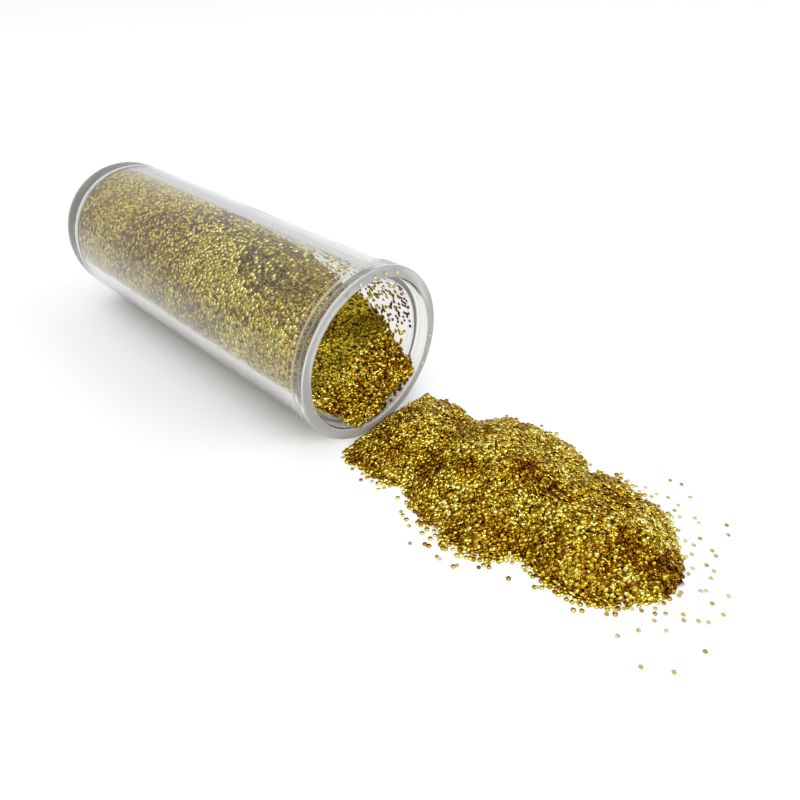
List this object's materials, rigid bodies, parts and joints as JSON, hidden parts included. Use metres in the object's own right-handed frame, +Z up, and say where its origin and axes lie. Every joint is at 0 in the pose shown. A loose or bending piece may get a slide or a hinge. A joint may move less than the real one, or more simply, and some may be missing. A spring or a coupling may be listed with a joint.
{
  "type": "gold sample vial",
  "caption": "Small clear round vial lying open on its side, filled with gold flake that spills from its collared mouth, with its loose push-in stopper behind it.",
  "frame": {"origin": "on the surface the part lies on, under the vial's axis, on the flat underside of the spilled gold, 4 mm in front of the vial's rim", "axes": "+X out of the vial's mouth along the surface, +Y to the far side where the loose stopper lies, +Z up"},
  "size_m": [0.1029, 0.032, 0.0186],
  "materials": {
    "clear_plastic": "clear polystyrene, polished",
    "gold_flake": "bright gold flake, loose",
    "stopper_plastic": "natural polyethylene, satin"
  },
  "bodies": {
    "gold": {"gold_fill": "gold_flake", "gold_heap": "gold_flake", "near_side_flakes": "gold_flake", "far_side_flakes": "gold_flake", "tip_flakes": "gold_flake"},
    "vial": {"vial_tube": "clear_plastic", "wall_flakes": "gold_flake", "rim_flakes": "gold_flake"},
    "stopper": {"stopper": "stopper_plastic"}
  },
  "joints": [
    {"name": "vial_spin", "type": "hinge", "parent": "gold", "child": "vial", "pos_m": [-0.004, 0, 0.00931], "axis": [1, 0, 0.0066], "continuous": true},
    {"name": "stopper_slide", "type": "slide", "parent": "gold", "child": "stopper", "axis": [0, 1, 0], "range_m": [0, 0.05]}
  ]
}
